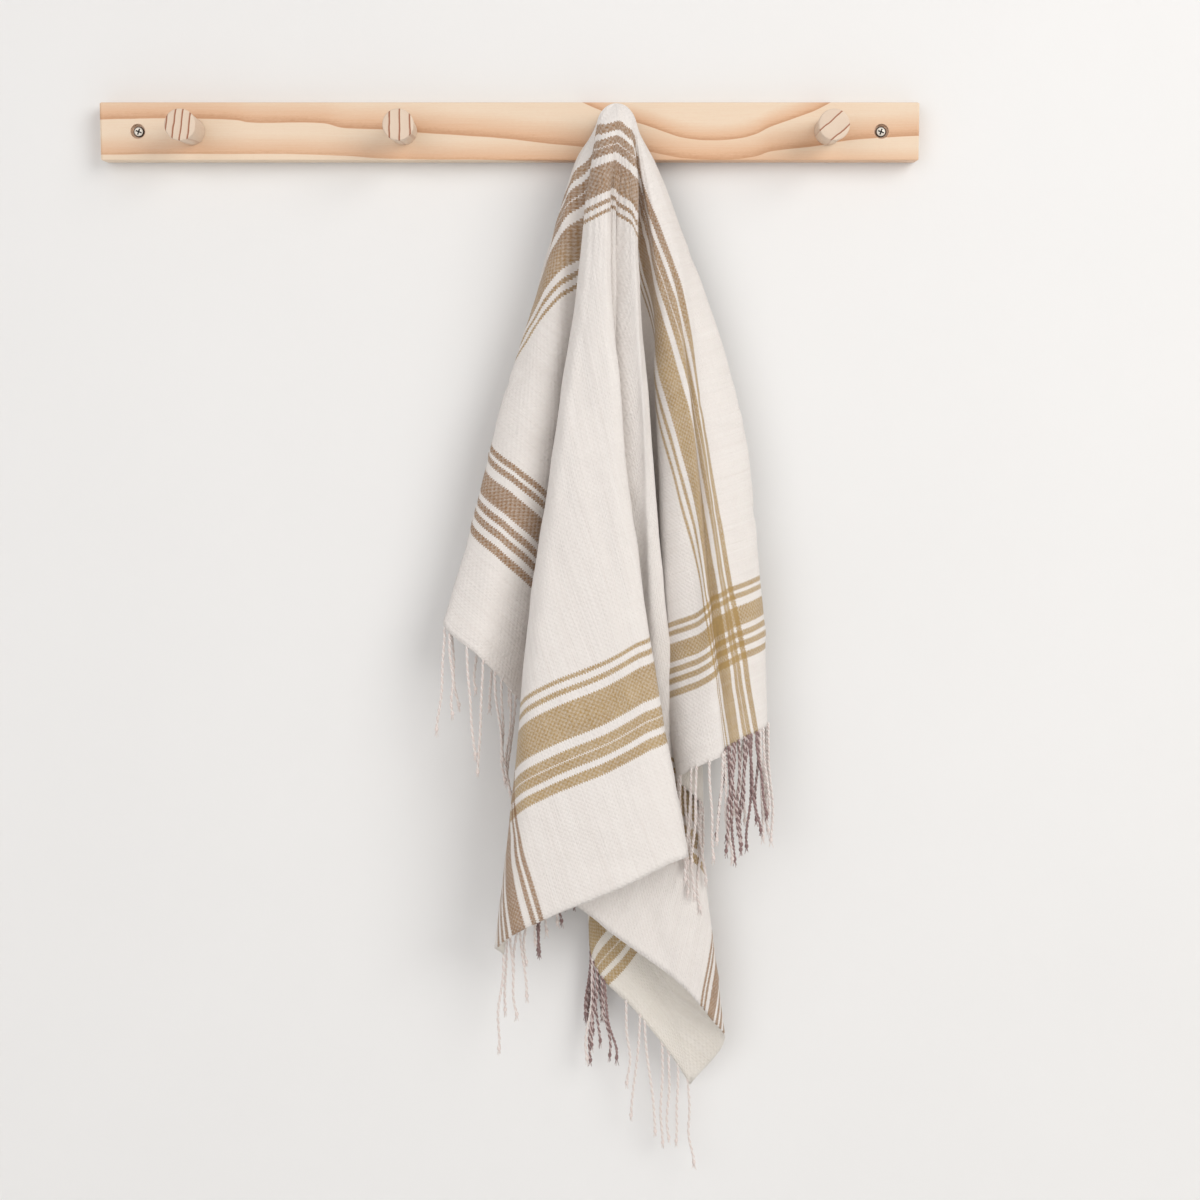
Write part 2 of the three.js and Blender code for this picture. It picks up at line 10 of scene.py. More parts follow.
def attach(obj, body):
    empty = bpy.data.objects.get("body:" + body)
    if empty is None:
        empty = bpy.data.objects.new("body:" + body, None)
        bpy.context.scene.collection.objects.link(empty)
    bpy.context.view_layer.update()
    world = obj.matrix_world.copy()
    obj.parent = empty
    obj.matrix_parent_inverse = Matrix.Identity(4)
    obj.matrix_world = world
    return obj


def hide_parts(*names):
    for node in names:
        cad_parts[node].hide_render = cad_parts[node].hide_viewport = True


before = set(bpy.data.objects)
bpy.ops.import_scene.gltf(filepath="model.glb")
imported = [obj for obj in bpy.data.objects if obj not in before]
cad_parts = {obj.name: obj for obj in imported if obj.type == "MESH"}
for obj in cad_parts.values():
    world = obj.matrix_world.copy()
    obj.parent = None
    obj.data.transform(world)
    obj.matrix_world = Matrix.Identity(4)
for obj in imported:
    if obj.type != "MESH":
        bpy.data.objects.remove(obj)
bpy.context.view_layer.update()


# The wall: smooth painted plaster, which the rail lies flat on. It isn't part of the object, and
# neither is the floor far below it.

class Amount:
    """A number that varies over a surface, so that shader maths reads as plain arithmetic."""

    def __init__(self, finish, socket):
        self.finish = finish
        self.socket = socket

    def maths(self, operation, *others):
        values = dict(enumerate((self,) + others))
        return self.finish.node("ShaderNodeMath", {"operation": operation}, values)

    def __add__(self, other):
        return self.maths("ADD", other)

    def __radd__(self, other):
        return self.maths("ADD", other)

    def __sub__(self, other):
        return self.maths("SUBTRACT", other)

    def __rsub__(self, other):
        return (self * -1) + other

    def __mul__(self, other):
        return self.maths("MULTIPLY", other)

    def __rmul__(self, other):
        return self.maths("MULTIPLY", other)

    def __truediv__(self, other):
        return self.maths("DIVIDE", other)

    def __pow__(self, other):
        return self.maths("POWER", other)

    def __abs__(self):
        return self.maths("ABSOLUTE")

    def kept_in(self):
        """Cut off below 0 and above 1."""
        return self.maths("MAXIMUM", 0.0).maths("MINIMUM", 1.0)

    def sine(self):
        return self.maths("SINE")

    def fraction(self):
        return self.maths("FRACT")

    def least(self, other):
        return self.maths("MINIMUM", other)

    def most(self, other):
        return self.maths("MAXIMUM", other)

    def rise(self, low, high):
        """0 below low, 1 above high, and a smooth step between."""
        return self.finish.node(
            "ShaderNodeMapRange",
            {"interpolation_type": "SMOOTHSTEP"},
            {"Value": self, "From Min": low, "From Max": high},
        )


class Finish:
    """A material that is built up from nodes. The surface's named values are the same all over."""

    def __init__(self, name, roughness, **surface):
        self.material = bpy.data.materials.new(name)
        self.material.use_nodes = True
        self.tree = self.material.node_tree
        self.surface = self.tree.nodes["Principled BSDF"]
        self.surface.inputs["Roughness"].default_value = roughness
        for name, value in surface.items():
            self.surface.inputs[name.replace("_", " ")].default_value = value

    def node(self, kind, settings=None, values=None, out=0):
        """A node with its settings, and the values or links of its sockets, as one of its outputs."""
        made = self.tree.nodes.new(kind)
        for key, value in (settings or {}).items():
            if key == "stops":
                ramp = made.color_ramp
                while len(ramp.elements) < len(value):
                    ramp.elements.new(0.5)
                for element, (place, colour) in zip(ramp.elements, value):
                    element.position = place
                    element.color = colour
            elif key == "curve":
                points = made.mapping.curves[0].points
                while len(points) < len(value):
                    points.new(0.5, 0.5)
                for point, place in zip(points, value):
                    point.location = place
                made.mapping.update()
            elif key == "blend":
                made.color_ramp.interpolation = value
            else:
                setattr(made, key, value)
        for key, value in (values or {}).items():
            if isinstance(value, Amount):
                self.tree.links.new(value.socket, made.inputs[key])
            else:
                made.inputs[key].default_value = value
        return Amount(self, made.outputs[out])

    def place(self):
        """The point on the piece, in millimetres, as x, y and z."""
        point = self.node("ShaderNodeTexCoord", out="Object")
        split = self.node("ShaderNodeSeparateXYZ", values={0: point}).socket.node
        return [Amount(self, split.outputs[i]) * 1000 for i in range(3)]

    def point(self, x, y, z):
        return self.node("ShaderNodeCombineXYZ", values={0: x, 1: y, 2: z})

    def cloud(self, point, scale, detail=3, roughness=0.5):
        """Soft noise about 0.5, finer the larger the scale."""
        values = {"Vector": point, "Scale": scale, "Detail": detail, "Roughness": roughness}
        return self.node("ShaderNodeTexNoise", values=values)

    def mix(self, share, first, second):
        """A blend of two colours, which are sockets 6 and 7 of a Mix node and its output 2."""
        first, second = [v if isinstance(v, Amount) else (*v, 1) for v in (first, second)]
        values = {0: share, 6: first, 7: second}
        return self.node("ShaderNodeMix", {"data_type": "RGBA"}, values, out=2)

    def wear(self, colour, height, depth, strength, **amounts):
        """Lays the colour, the height of the surface and the rest on the material."""
        self.tree.links.new(colour.socket, self.surface.inputs["Base Color"])
        values = {"Height": height, "Distance": depth, "Strength": strength}
        bump = self.node("ShaderNodeBump", values=values)
        self.tree.links.new(bump.socket, self.surface.inputs["Normal"])
        for name, amount in amounts.items():
            self.tree.links.new(amount.socket, self.surface.inputs[name])
        return self.material


def plane(name, corners, material):
    mesh = bpy.data.meshes.new(name)
    mesh.from_pydata(corners, [], [(0, 1, 2, 3)])
    made = bpy.data.objects.new(name, mesh)
    bpy.context.scene.collection.objects.link(made)
    made.data.materials.append(material)


WALL_BACK = 0.0006
ROOM_HALF_WIDTH = 3
ROOM_DEPTH = 5
FLOOR_HEIGHT = -1.4
CEILING_HEIGHT = 2

plaster = Finish("wall_paint", 0.9)
x, y, z = plaster.place()
mottle = plaster.cloud(plaster.point(x, 0, z), 0.004, 4)
paint = plaster.mix(mottle, (0.80, 0.795, 0.785), (0.83, 0.825, 0.815))
roller = plaster.cloud(plaster.point(x, 0, z), 0.25, 3)
plaster.wear(paint, roller, 0.0003, 0.12)
plane("wall", [
    (-ROOM_HALF_WIDTH, WALL_BACK, FLOOR_HEIGHT),
    (ROOM_HALF_WIDTH, WALL_BACK, FLOOR_HEIGHT),
    (ROOM_HALF_WIDTH, WALL_BACK, CEILING_HEIGHT),
    (-ROOM_HALF_WIDTH, WALL_BACK, CEILING_HEIGHT),
], plaster.material)
plane("floor", [
    (-ROOM_HALF_WIDTH, -ROOM_DEPTH, FLOOR_HEIGHT),
    (ROOM_HALF_WIDTH, -ROOM_DEPTH, FLOOR_HEIGHT),
    (ROOM_HALF_WIDTH, WALL_BACK, FLOOR_HEIGHT),
    (-ROOM_HALF_WIDTH, WALL_BACK, FLOOR_HEIGHT),
], plaster.material)


# The rail: a planed and oiled pine board, cut so that the growth rings run along it in wide
# bands. Each band darkens slowly towards its lower edge and then breaks off to pale wood. The
# solid's own shape is kept.

RAIL_HALF_LENGTH = 305
SCREW_SIDE = 277
BORE_RADIUS = 5.5
# the lower edges of the two bands as (side, height), and the range of heights of their curves
BAND_RANGE = 60
MAIN_BAND = [(-305, 8.6), (-205, 8.4), (-194, 6.6), (-140, 5.6), (-124, 2.6), (-95, 1.2), (-71, -0.6),
             (-3, -5.6), (26, -8.8), (60, -12), (100, -14.4), (116, -17.2), (132, -20), (150, -20.9),
             (166, -20.6), (182, -18.6), (196, -14.4), (226, -11), (257, -6.2), (305, -3.2)]
LOW_BAND = [(-305, -17), (-205, -16.4), (-125, -17.6), (-95, -19.9), (0, -21), (305, -26)]
# a third band lies this far above the main one where that dips, and bends away on both sides
DIP_CENTRE = 150
DIP_RISE = 14.2
DIP_BEND = 0.002

pine = Finish("pine_board", 0.5, Coat_Weight=0.12, Coat_Roughness=0.35)
x, y, z = pine.place()
waver = pine.cloud(pine.point(x * 0.02, y * 0.1, z * 0.06), 1, 3) - 0.5
height = z + waver * 1.6


def share_of_rail(side):
    return (side + RAIL_HALF_LENGTH) / (2 * RAIL_HALF_LENGTH)


def band_edge(points):
    """The height of a band's lower edge above each place along the rail."""
    curve = [(share_of_rail(side), rise / BAND_RANGE + 0.5) for side, rise in points]
    edge = pine.node("ShaderNodeFloatCurve", {"curve": curve}, {"Value": share_of_rail(x)})
    return (edge - 0.5) * BAND_RANGE


def late_wood(edge, fade):
    """1 at a band's lower edge, fading away above it and gone below it."""
    above = height - edge
    return above.rise(-0.25, 0.25) * ((1 - above / fade).kept_in() ** 1.15)


main_edge = band_edge(MAIN_BAND)
from_dip = x - DIP_CENTRE
dip_edge = main_edge + DIP_RISE + from_dip * from_dip * DIP_BEND
low_edge = band_edge(LOW_BAND)
rings = late_wood(main_edge, 19).most(late_wood(dip_edge, 13)).most(late_wood(low_edge, 15) * 0.85)
fibre = pine.cloud(pine.point(x * 0.02, y, z * 1.3), 1, 6, 0.7) - 0.5
fine_fibre = pine.cloud(pine.point(x * 0.12, y * 5, z * 5), 1, 3, 0.6) - 0.5
figure = pine.cloud(pine.point(x * 0.3, y, z * 1.1), 1, 4, 0.75) - 0.5
tone = (rings + fibre * 0.5 + fine_fibre * 0.3 + figure * 0.35 + 0.04).kept_in()
wood = pine.node("ShaderNodeValToRGB", {"stops": [
    (0.0, (0.79, 0.63, 0.47, 1)),
    (0.35, (0.75, 0.53, 0.36, 1)),
    (0.75, (0.70, 0.43, 0.26, 1)),
    (1.0, (0.55, 0.29, 0.15, 1)),
]}, {0: tone})
beside_screw = abs(x) - SCREW_SIDE
from_screw = (beside_screw * beside_screw + z * z) ** 0.5
# Painted light: inside the bored holes the wood is painted paler, to lift the shade that falls deep in the
# holes.
bore_painted_light = 1 - from_screw.rise(BORE_RADIUS - 0.3, BORE_RADIUS + 0.5)
wood = pine.mix(bore_painted_light * 0.9, wood, (0.80, 0.58, 0.42))
pine.wear(wood, fibre + fine_fibre * 0.6 - rings * 0.3, 0.0002, 0.35, Roughness=0.46 + fibre * 0.25)

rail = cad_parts["rail"]
rail.data.materials.clear()
rail.data.materials.append(pine.material)


# The pegs: turned from pine, each glued into the board by a tenon. Their end grain shows as a
# few dark lines, which lie differently on each peg. The body widens a little towards the end.

PEG_SIDES = [-237, -79, 79, 237]
PEG_SPANS = 72
# (radius, out from the wall) from the tenon in the board to the rounded end
PEG_PROFILE = [(0, 6), (6.6, 6), (7, 6.4), (7, 18.3), (10.1, 18.3), (10.15, 24), (10.35, 34), (10.75, 44),
               (11.1, 52), (11.38, 57.6), (11.48, 59.3), (11.36, 60.2), (11.0, 60.75), (10.4, 60.95),
               (6, 61.05), (0, 61.1)]
PEG_END = (59.5, 60.8)
# degrees that the lines lean, millimetres between them, where the first falls, and their share
PEG_GRAINS = [(9, 5.5, 0.69, 0.30), (1, 7.4, 0.76, 0.24), (30, 4.6, 0.1, 0.25), (50, 10.6, 0.27, 0.14)]


def turned_pine(name, side, lean, spacing, first, share):
    finish = Finish(name, 0.6)
    x, y, z = finish.place()
    x = x - side
    out = 0 - y
    wander = (finish.cloud(finish.point(x * 0.1, y * 0.02, z * 0.1), 1, 3) - 0.5) * 1.6
    lean = math.radians(lean)
    across = x * math.cos(lean) - z * math.sin(lean) + wander
    ring = (across / spacing + first + 100).fraction()
    line = ring.rise(1 - share, 1 - share * 0.4) * (1 - ring.rise(0.975, 1.0))
    line = line * (0.25 + 0.75 * out.rise(*PEG_END))
    pores = finish.cloud(finish.point(x * 3, y * 0.15, z * 3), 1, 4, 0.7) - 0.5
    tone = (line * 0.95 + ring * 0.14 + pores * 0.55 + 0.02).kept_in()
    wood = finish.node("ShaderNodeValToRGB", {"stops": [
        (0.0, (0.74, 0.60, 0.47, 1)),
        (0.3, (0.66, 0.49, 0.37, 1)),
        (1.0, (0.34, 0.13, 0.065, 1)),
    ]}, {0: tone})
    return finish.wear(wood, pores - line * 0.5, 0.0002, 0.4)


def turned(name, profile, spans, side):
    """A mesh turned about the line that runs out of the wall at this side."""
    shape = bmesh.new()
    rings = []
    for radius, out in profile:
        if radius == 0:
            rings.append([shape.verts.new((side, -out, 0))])
            continue
        ring = []
        for i in range(spans):
            turn = 2 * math.pi * i / spans
            ring.append(shape.verts.new((side + radius * math.cos(turn), -out, radius * math.sin(turn))))
        rings.append(ring)
    for inner, outer in zip(rings, rings[1:]):
        for i in range(spans):
            j = (i + 1) % spans
            corners = [ring[k % len(ring)] for ring, k in ((inner, i), (inner, j), (outer, j), (outer, i))]
            shape.faces.new(dict.fromkeys(corners))
    bmesh.ops.recalc_face_normals(shape, faces=shape.faces)
    for face in shape.faces:
        face.smooth = True
    mesh = bpy.data.meshes.new(name)
    shape.to_mesh(mesh)
    shape.free()
    mesh.transform(Matrix.Scale(0.001, 4))
    made = bpy.data.objects.new(name, mesh)
    bpy.context.scene.collection.objects.link(made)
    return made


for number, (side, grain) in enumerate(zip(PEG_SIDES, PEG_GRAINS), 1):
    peg = turned(f"turned_peg_{number}", PEG_PROFILE, PEG_SPANS, side)
    peg.data.set_sharp_from_angle(angle=math.radians(50))
    peg.data.materials.append(turned_pine(f"pine_end_grain_{number}", side, *grain))
    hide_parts(f"peg_{number}")
    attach(peg, "root")


# The screws: dull plated steel, sunk in two bored holes. The cross recess is painted near black as painted
# shade.

SCREW_CROWN = 15.7

steel = Finish("plated_steel", 0.42)
x, y, z = steel.place()
depth = y + SCREW_CROWN
shaded_recess = depth.rise(0.15, 0.9)
rub = steel.cloud(steel.point(x, y, z), 1.5, 4, 0.6)
plate = steel.mix(rub, (0.66, 0.62, 0.55), (0.82, 0.78, 0.70))
# Painted shade: the cross recess is coloured near black.
plate = steel.mix(shaded_recess, plate, (0.035, 0.03, 0.028))
dull = 0.34 + rub * 0.25 + shaded_recess * 0.4
steel.wear(plate, rub, 0.0001, 0.3, Roughness=dull, Metallic=0.85 - shaded_recess * 0.85)
for name in ("screw_left", "screw_right"):
    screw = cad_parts[name]
    screw.data.materials.clear()
    screw.data.materials.append(steel.material)


# The towel: a handwoven cotton cloth, off-white with tan stripes near all four edges. It hangs
# by one point from the third peg, so it falls in folds from there. Its two long edges are
# selvages, and its two short ones end in a fringe.

TOWEL_LENGTH = 810
TOWEL_WIDTH = 613
CLOTH_THICKNESS = 1.0
PEG_SIDE = 79
# the line of cloth that lies over the peg: where it is along the cloth, then how far across the
# cloth and how far out from the wall its two ends are, at the peg's tip and at its root
HUNG_ALONG = 330
TIP_ACROSS, TIP_OUT = 70, 60
ROOT_ACROSS, ROOT_OUT = 25, 22
WRAP_RADIUS = 14.6
WRAP_RUN = 20
WRAP_FORWARD = 0.75
LEAST_DROP = 0.02
RUNS = [50, 120, 240, 360, 480, 600]

# Fold lines run over the flat cloth from the peg to the rim, in order round the rim: up the short
# edge on the left, along the lower long edge, up the short edge on the right. The columns are
# along and across where the line meets the rim, the tenths from the peg's tip to its root where
# it starts, the heading it leaves by (180 left, 270 forward), how far the cloth gives, and then
# (side, out) after each of RUNS and at the rim.
FOLD_LINES = [
    # back of the towel, against the wall on the left
    (0, 0, 10, 180, 1, (-24, 23), (-32, 15), (-32, 10), None, None, None, (-37, 10)),
    (0, 55, 10, 180, 1, (-26, 25), (-47, 12), (-64, 8), None, None, None, (-74, 7)),
    (0, 90, 10, 180, 1, (-27, 25.7), (-50.5, 15), (-73, 10.5), None, None, None, (-91, 8.5)),
    (0, 110, 10, 180, 1, (-27, 26), (-50.5, 18), (-75.5, 13), None, None, None, (-94, 11.5)),
    (0, 130, 10, 180, 1, (-26.5, 27), (-50, 19.5), (-72, 15.5), None, None, None, (-85, 14)),
    (0, 163, 10, 180, 1, (-25, 29), (-41, 22), (-51, 16), None, None, None, (-62, 14)),
    (0, 184, 10, 180, 1, (-25.5, 30.2), (-41, 25), (-54, 20.5), None, None, None, (-65, 20)),
    (0, 220, 10, 180, 1, (-25, 32), (-43, 30), (-68, 28), (-88, 27), None, None, (-92, 27)),
    # left face, from the left outline to the valley beside the front panel
    (0, 273, 9, 182, 1, (-28.5, 37), (-48, 37), (-84, 41), (-114, 43), None, None, (-129, 44)),
    (0, 306, 6, 186, 1, (-28, 45), (-47, 46), (-66, 53), (-92, 56), None, None, (-106, 53)),
    (0, 339, 4, 192, 1.008, (-26.5, 51), (-38, 52), (-47, 50), (-68, 46), None, None, (-86, 38)),
    (0, 364, 3, 198, 1.01, (-20, 55), (-25, 46), (-38, 36), (-54, 29), None, None, (-74, 26)),
    (0, 450, 0, 206, 1, (-17.4, 60), (-14, 43), (-12, 31), (-12, 26), None, None, (-32, 22)),
    (0, 485, 0, 210, 1, (-17.4, 60), (-16, 47), (-19, 37), (-25, 30), None, None, (-37, 28)),
    (0, 525, 0, 215, 1.005, (-17, 60), (-19, 52), (-28, 44), (-42, 37), (-52, 32), None, (-58, 30)),
    (0, 613, 0, 223, 1.02, (-17.5, 63), (-24, 60), (-40, 58), (-56, 57), (-68, 53), None, (-86, 44)),
    # front panel, a broad nearly flat fold
    (58, 613, 0, 230, 1.045, (-17, 67), (-26, 69), (-43.5, 74), (-62.5, 76), (-74, 76), None, (-89, 70)),
    (80, 613, 0, 236, 1.042, (-15.5, 70), (-23, 74), (-39.5, 80), (-57, 83), (-68, 84), None, (-79, 80)),
    (112, 613, 0, 244, 1.035, (-12.5, 73), (-18, 77), (-31, 82.5), (-44, 87), (-48, 89), None, (-54, 87)),
    (170, 613, 0, 254, 1.022, (-7.5, 75), (-11, 79), (-12, 85), (-8, 91), (-2, 93), None, (2, 93)),
    (212, 613, 0, 261, 1.012, (-4.5, 74), (-6, 78), (0, 84), (12, 89), (27, 90), None, (40, 89)),
    (230, 613, 0, 265, 1.012, (-3.5, 72), (-4, 75), (5, 80), (20, 84), (40, 84), None, (54, 84)),
    # pleat behind the front panel
    (258, 613, 0, 269, 1.01, (-3, 71), (-5, 73), (3, 74), (14, 78), (26, 79), None, (33, 78)),
    (345, 613, 0, 274, 1, (-2, 68.5), (-9, 69), (-19, 70), (-36, 74), (-57, 73), None, (-62, 71)),
    (425, 613, 0, 280, 1, (0, 68.5), (0, 68), (5, 67), (10, 69), (18, 65), None, (25, 64)),
    # narrow ridge beside the front panel, which widens into the lowest panel
    (508, 613, 0, 287, 1, (3, 69), (-5, 63), (-16, 61), (-32, 61), (-48, 57), None, (-60, 55)),
    (590, 613, 0, 295, 1.033, (9, 72), (10, 75), (14, 70), (12, 58), (4, 50), None, (-8, 48)),
    (690, 613, 0, 302, 1.046, (12, 70), (15, 72), (23, 72), (30, 64), (41, 51), (55, 47), (62, 45)),
    (724, 613, 0, 306, 1.042, (14, 66), (16, 66), (26, 67), (37, 59), (55, 45), (69, 43), (74, 42)),
    # the lowest panel turned back, its reverse showing
    (760, 613, 0, 310, 1.038, (14, 64), (14, 60), (20, 58), (29, 50), (50, 37), (71.5, 35), (85, 34)),
    (810, 613, 0, 315, 1.05, (13, 60), (11, 50), (9, 42), (8, 34), (17, 27), (36, 23), (59, 20)),
    (810, 545, 0, 318, 1.035, (13, 58), (11, 46), (3, 36), (-6, 28), (-8, 23), None, (15, 23)),
    (810, 508, 0, 320, 1.03, (13, 57), (12, 45), (0, 32), (-12, 25), (-18, 20.5), None, (-13, 22)),
    (810, 485, 0, 321, 1.03, (13, 57), (13, 44), (1, 28), (-13, 21), (-25, 16.5), None, (-19, 17)),
    (810, 460, 0, 323, 1.02, (13.4, 56.5), (15, 44), (8, 24), (-4, 16), (-15, 12.5), None, (-14, 11.5)),
    # pleat behind the right panel
    (810, 430, 0, 325, 1, (14, 56), (16, 44), (14, 22), (10, 13), (8, 9), None, (5, 9)),
    (810, 385, 0, 327, 1, (14.5, 55.5), (18, 44), (24, 28), (30, 20), (34, 16), None, (37, 13)),
    (810, 345, 0, 329, 1, (15, 55), (20, 45), (34, 34), (50, 28), (62, 25), None, (63, 21)),
    (810, 315, 0, 331, 1, (15, 55.5), (22, 47), (36, 42), (53, 40), (65, 39), None, (67, 37)),
    (810, 285, 0, 333, 1, (16, 56), (24, 51), (35, 52), (47, 50), (60, 49), None, (62, 49)),
    (810, 255, 0, 335, 1, (17, 56), (26, 53), (30, 53), (36, 51), (45, 50), None, (50, 50)),
    # right panel, from its left fold to the long edge at the right outline
    (810, 205, 0, 338, 1.01, (18, 57), (30, 62), (43, 65), (50, 64), (50, 62), None, (51, 62)),
    (810, 187, 0, 341, 1.01, (19, 57), (33, 63), (48.5, 66), (60, 67), (60, 68), None, (60, 68)),
    (810, 160, 0, 344, 1.005, (21, 56), (37, 63), (56, 66), (67, 69), None, None, (80, 71)),
    (810, 147, 0, 346, 1.005, (22, 54.5), (39, 60), (57, 61), (69, 64), None, None, (82, 68)),
    (810, 130, 0, 347, 1.005, (23, 54), (43, 60), (61, 65), (75, 70), None, None, (87, 70)),
    (810, 105, 2, 350, 1, (25, 50), (47, 55), (66, 58), (82, 63), None, None, (98, 62)),
    (810, 82, 4, 353, 1, (27, 44), (51, 49), (79, 51), (95, 56), None, None, (110, 54)),
    (810, 50, 7, 356, 1, (28, 36), (54, 42), (91, 41), (108, 43), None, None, (115, 44)),
    (810, 0, 10, 360, 1, (28.5, 24), (54, 20), (84, 17), (93, 22), None, None, (88, 22)),
]


def slopes_at(places, values):
    """Slopes for a smooth curve through rows of values at uneven places."""
    steps = np.diff(places).reshape(-1, *[1] * (values.ndim - 1))
    rises = np.diff(values, axis=0) / steps
    middle = (rises[:-1] * steps[1:] + rises[1:] * steps[:-1]) / (steps[1:] + steps[:-1])
    return np.concatenate([rises[:1], middle, rises[-1:]])


def curve_at(places, values, slopes, at):
    """Points of the curve that runs through those rows of values."""
    i = np.clip(np.searchsorted(places, at, side="left") - 1, 0, len(places) - 2)
    span = (places[i + 1] - places[i]).reshape(-1, *[1] * (values.ndim - 1))
    t = (at - places[i]).reshape(span.shape) / span
    rise = t * t * (3 - 2 * t)
    leave = t * (1 - t) ** 2
    arrive = t * t * (t - 1)
    eased = values[i] + (values[i + 1] - values[i]) * rise
    return eased + span * (slopes[i] * leave + slopes[i + 1] * arrive)


def rim_place(along, across):
    """How far round the rim a point of it is."""
    if along == 0:
        return across
    if across == TOWEL_WIDTH:
        return TOWEL_WIDTH + along
    return 2 * TOWEL_WIDTH + TOWEL_LENGTH - across


def rim_point(place):
    """The point on the flat cloth's rim, along and across."""
    along = np.clip(place - TOWEL_WIDTH, 0, TOWEL_LENGTH)
    across = np.minimum(np.minimum(place, TOWEL_WIDTH), 2 * TOWEL_WIDTH + TOWEL_LENGTH - place)
    return along, across


fold_rims = np.array([rim_place(line[0], line[1]) for line in FOLD_LINES], float)
fold_starts = np.array([line[2] / 10 for line in FOLD_LINES])
fold_gives = np.array([line[4] for line in FOLD_LINES], float)


def fold_line_at(line, shares):
    """Side and out along one fold line, at shares of its length."""
    along, across, start, heading, give, *columns = line
    start = start / 10
    heading = math.radians(heading)
    to_side, to_out = math.cos(heading), -math.sin(heading)
    start_out = TIP_OUT + (ROOT_OUT - TIP_OUT) * start
    length = math.hypot(along - HUNG_ALONG, across - TIP_ACROSS - (ROOT_ACROSS - TIP_ACROSS) * start)
    reach = WRAP_RADIUS * math.sin(WRAP_RUN / WRAP_RADIUS)
    runs = [0, WRAP_RUN]
    values = [(0, start_out), (to_side * reach, start_out + to_out * reach * WRAP_FORWARD)]
    for run, value in zip(RUNS + [length], columns):
        if value:
            runs.append(run)
            values.append(value)
    runs, values = np.array(runs, float), np.array(values, float)
    slopes = slopes_at(runs, values)
    slopes[0] = to_side, to_out
    slopes[1] = 0.6 * (values[2] - values[1]) / (runs[2] - runs[1])
    slopes[1] += 0.08 * to_side, 0.08 * WRAP_FORWARD * to_out
    return curve_at(runs, values, slopes, shares * length)


def hang(rims, shares):
    """Points of the hung cloth and of the flat one, a row for each rim place and a column for
    each share of the way from the peg. The height comes from the length of cloth used up."""
    fine = np.unique(np.concatenate([np.linspace(a, b, 4) for a, b in zip(shares, shares[1:])]))
    lines = np.array([fold_line_at(line, fine) for line in FOLD_LINES])
    level = curve_at(fold_rims, lines, slopes_at(fold_rims, lines), rims)
    start = np.interp(rims, fold_rims, fold_starts)
    level[:, 0, 0] = 0
    level[:, 0, 1] = TIP_OUT + (ROOT_OUT - TIP_OUT) * start
    along, across = rim_point(rims)
    start_across = TIP_ACROSS + (ROOT_ACROSS - TIP_ACROSS) * start
    length = np.hypot(along - HUNG_ALONG, across - start_across)
    runs = np.diff(fine)[None] * (length * np.interp(rims, fold_rims, fold_gives))[:, None]
    moved = np.linalg.norm(np.diff(level, axis=1), axis=2)
    drops = np.sqrt(np.maximum(runs ** 2 - moved ** 2, (LEAST_DROP * runs) ** 2))
    heights = WRAP_RADIUS - np.concatenate([np.zeros((len(rims), 1)), np.cumsum(drops, axis=1)], axis=1)
    hung = np.stack([PEG_SIDE + level[..., 0], -level[..., 1], heights], axis=2)
    keep = np.searchsorted(fine, shares - 1e-9)
    flat = np.stack([
        HUNG_ALONG + (along - HUNG_ALONG)[:, None] * shares,
        start_across[:, None] + (across - start_across)[:, None] * shares,
    ], axis=2)
    return hung[:, keep], flat


COLUMN_WIDTH = 7.0
ROWS = 150
ROW_POWER = 1.35

column_rims = np.unique(np.concatenate([
    np.linspace(a, b, max(2, int(round((b - a) / COLUMN_WIDTH)) + 1))
    for a, b in zip(fold_rims, fold_rims[1:])
]))
row_shares = np.linspace(0, 1, ROWS + 1) ** ROW_POWER
hung, flat = hang(column_rims, row_shares)


# creases as along and across of the middle, the way they run in degrees (0 along the cloth), the
# length, the width and how far they stand out, all on the flat cloth
CREASES = [
    # left face
    (128, 200, 25, 70, 4, -1.3), (157, 167, 40, 60, 4, 1.0), (70, 262, 50, 90, 7, 1.2),
    (41, 291, 30, 80, 6, 1.2), (15, 303, 62, 80, 8, -1.4), (190, 150, 60, 70, 5, -0.9),
    # front panel
    (163, 589, 20, 100, 8, 1.5), (197, 572, 158, 90, 6, -1.2), (132, 556, 30, 80, 8, 1.1),
    (236, 556, 100, 90, 8, -1.1), (206, 380, 88, 170, 9, 1.0), (238, 300, 92, 190, 7, -0.9),
    (243, 423, 95, 130, 6, 1.1), (262, 240, 94, 130, 6, 0.9), (180, 470, 84, 130, 8, -0.8),
    # right panel
    (556, 70, 78, 60, 4, 1.1), (577, 60, 96, 55, 4, -1.0), (648, 58, 100, 75, 6, 1.1),
    (470, 62, 60, 70, 5, 0.9), (702, 150, 85, 70, 6, -1.0), (764, 150, 100, 80, 7, 1.1),
    (745, 60, 70, 60, 6, -0.9),
    # lowest panel
    (640, 598, 40, 70, 6, 1.2), (716, 596, 120, 70, 5, -1.1), (668, 560, 80, 90, 7, 1.0),
    (784, 560, 120, 80, 6, 1.1),
]
# the height and breadth of the waves all over the cloth, a large kind and a small one
SWELL_HEIGHT, SWELL_BREADTH = 1.3, 60
RIPPLE_HEIGHT, RIPPLE_BREADTH = 0.5, 20
CREASE_BEND = 0.12
# the gathers reach this far from the peg and fade over this much, and next to the peg it is smooth
GATHER_HEIGHT = 0.35
GATHER_SPACING = 34
GATHER_REACH, GATHER_FADE = 150, 90
SMOOTH_REACH, SMOOTH_FADE = 15, 60


